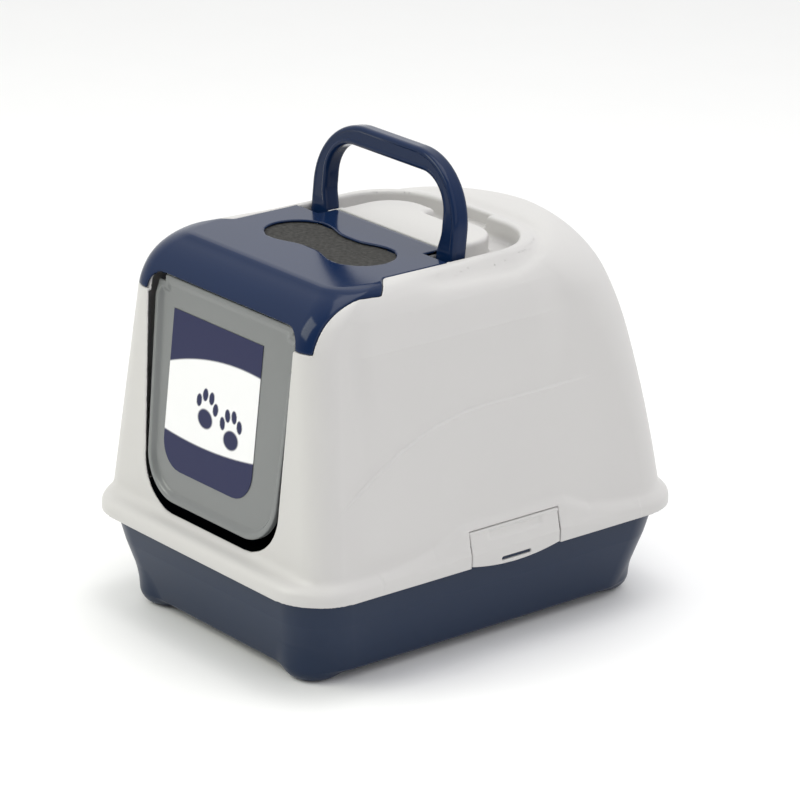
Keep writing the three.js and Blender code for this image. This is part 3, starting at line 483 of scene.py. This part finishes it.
pad = piece(
    "filter_pad", surface(filter_pad, (-93.63, -113.37, 384.77), (94, -39, 393.5), 1.05),
    "cover", FIBRE,
    ["carbon_filter"],
)


def print_film():
    """The label: a thin film with dark bands above and below a pale middle and two paw prints."""
    x0, half, radius = LABEL_X, LABEL_HALF, LABEL_R
    top, bottom = LABEL_TOP - DOOR_HINGE[1], LABEL_BOTTOM - DOOR_HINGE[1]
    nx, nz = 147, 164
    xs, zs = np.linspace(-half, half, nx), np.linspace(bottom, top, nz)
    X, Z = np.meshgrid(xs, zs)
    room = np.sqrt(np.maximum(radius ** 2 - np.maximum(bottom + radius - Z, 0) ** 2, 0))
    reach = half - radius + room
    X = np.clip(X, -reach, reach)
    points = np.stack([X + x0, np.full(X.shape, -1.8), Z], -1).reshape(-1, 3)
    u, v = X / half, (Z - bottom) / (top - bottom)
    upper = v - (0.775 + 0.065 * u - 0.05 * u * u)
    lower = (0.225 + 0.015 * u + 0.03 * u * u) - v
    dark = np.maximum(ramp(upper * 90), ramp(lower * 90))
    for px, pz, size, tilt in ((-8, -126, 1.6, -0.12), (34, -136, 1.6, 0.12)):
        c, s = math.cos(tilt), math.sin(tilt)
        dx, dz = X - px, Z - pz
        dx, dz = (c * dx + s * dz) / size, (-s * dx + c * dz) / size
        paw = np.hypot(dx / 7.5, (dz + 4) / 6.2) - 1
        for tx, tz in ((-8.5, 5.5), (-3.2, 11), (3.4, 11), (8.7, 5.5)):
            paw = np.minimum(paw, np.hypot((dx - tx) / 2.7, (dz - tz) / 4.2) - 1)
        dark = np.maximum(dark, ramp(0.5 - paw * 5))
    i = np.arange((nz - 1) * nx).reshape(nz - 1, nx)[:, :-1].ravel()
    quads = np.stack([i, i + 1, i + nx + 1, i + nx], 1)
    turn = about_x(-DOOR_LEAN)
    points = points @ turn.T + np.array((0, *DOOR_HINGE))
    mesh = bpy.data.meshes.new("label_film")
    mesh.from_pydata((points * MM).tolist(), [], quads.tolist())
    mesh.validate()
    shade = mesh.attributes.new("ink", "FLOAT", "POINT")
    shade.data.foreach_set("value", dark.ravel().astype(np.float32))
    obj = bpy.data.objects.new("label_film", mesh)
    bpy.context.scene.collection.objects.link(obj)
    film = obj.modifiers.new("film", "SOLIDIFY")
    film.thickness = 0.35 * MM
    film.offset = 0
    mat = plastic("label_print", (0.8, 0.8, 0.81), 0.3, 0.0, 0.0, shine=0.2)
    nodes, links = mat.node_tree.nodes, mat.node_tree.links
    shader = nodes["Principled BSDF"]
    ink = nodes.new("ShaderNodeAttribute")
    ink.attribute_name = "ink"
    mix = nodes.new("ShaderNodeMix")
    mix.data_type = "RGBA"
    plain = shader.inputs["Base Color"].links[0].from_socket
    links.new(ink.outputs["Fac"], mix.inputs["Factor"])
    links.new(plain, mix.inputs[6])
    mix.inputs[7].default_value = (0.012, 0.015, 0.062, 1)
    links.new(mix.outputs[2], shader.inputs["Base Color"])
    mesh.materials.append(mat)
    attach(obj, "door")
    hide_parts("door_label")


print_film()
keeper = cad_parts["filter_retainer"]
keeper.data.materials.clear()
keeper.data.materials.append(NAVY)

# ---------- floor, light and camera ----------

floor_mesh = bpy.data.meshes.new("floor")
reach = 6.0
floor_mesh.from_pydata(
    [(-reach, -reach, 0), (reach, -reach, 0), (reach, reach, 0), (-reach, reach, 0)], [], [(0, 1, 2, 3)],
)
floor = bpy.data.objects.new("floor", floor_mesh)
bpy.context.scene.collection.objects.link(floor)
floor_mesh.materials.append(plastic("floor_paint", (0.9, 0.9, 0.9), 0.7, 0.01, 0.0))

# The surroundings are white, and dimmer on the viewer's side than behind the object.
world = bpy.data.worlds.new("studio")
bpy.context.scene.world = world
world.use_nodes = True
sky_nodes, sky_links = world.node_tree.nodes, world.node_tree.links
facing = sky_nodes.new("ShaderNodeTexCoord")
toward = sky_nodes.new("ShaderNodeVectorMath")
toward.operation = "DOT_PRODUCT"
toward.inputs[1].default_value = (0.76, -0.62, -0.2)
dim = sky_nodes.new("ShaderNodeMapRange")
dim.inputs["From Min"].default_value, dim.inputs["From Max"].default_value = -0.35, 0.6
dim.inputs["To Min"].default_value, dim.inputs["To Max"].default_value = 1.06, 0.32
sky_links.new(facing.outputs["Generated"], toward.inputs[0])
sky_links.new(toward.outputs["Value"], dim.inputs["Value"])
sky_links.new(dim.outputs["Result"], sky_nodes["Background"].inputs["Strength"])
sky_nodes["Background"].inputs["Color"].default_value = (1, 1, 1, 1)


def lamp(name, place, size, power, colour=(1, 1, 1)):
    light = bpy.data.lights.new(name, "AREA")
    light.size, light.energy, light.color = size, power, colour
    obj = bpy.data.objects.new(name, light)
    obj.location = place
    obj.rotation_euler = (Vector((0, 0, 0.2)) - Vector(place)).to_track_quat("-Z", "Y").to_euler()
    bpy.context.scene.collection.objects.link(obj)


lamp("key", (-0.9, -2.2, 2.0), 1.6, 35, (0.98, 1.0, 0.88))
lamp("side", (2.4, -0.5, 1.7), 3.0, 27, (0.97, 0.97, 1.0))
lamp("top", (0.3, 0.4, 2.6), 1.8, 24)

AZ, EL, ROLL = map(math.radians, (50.852, 20.462, 0.658))
DISTANCE, TARGET = 4.0226, Vector((0, 0, 0.175))
right = Vector((math.cos(AZ), math.sin(AZ), 0))
back = Vector((math.sin(AZ) * math.cos(EL), -math.cos(AZ) * math.cos(EL), math.sin(EL)))
up = back.cross(right)
cam_x = right * math.cos(ROLL) + up * math.sin(ROLL)
cam_y = up * math.cos(ROLL) - right * math.sin(ROLL)
bpy.context.scene.view_settings.view_transform = "Standard"
camera_data = bpy.data.cameras.new("camera")
camera_data.sensor_width = 36
camera_data.lens = 176.9
camera_data.shift_x, camera_data.shift_y = 0.0163, 0.0422
camera = bpy.data.objects.new("camera", camera_data)
turn = Matrix((cam_x, cam_y, back)).transposed().to_4x4()
camera.matrix_world = Matrix.Translation(TARGET + back * DISTANCE) @ turn
bpy.context.scene.collection.objects.link(camera)
bpy.context.scene.camera = camera
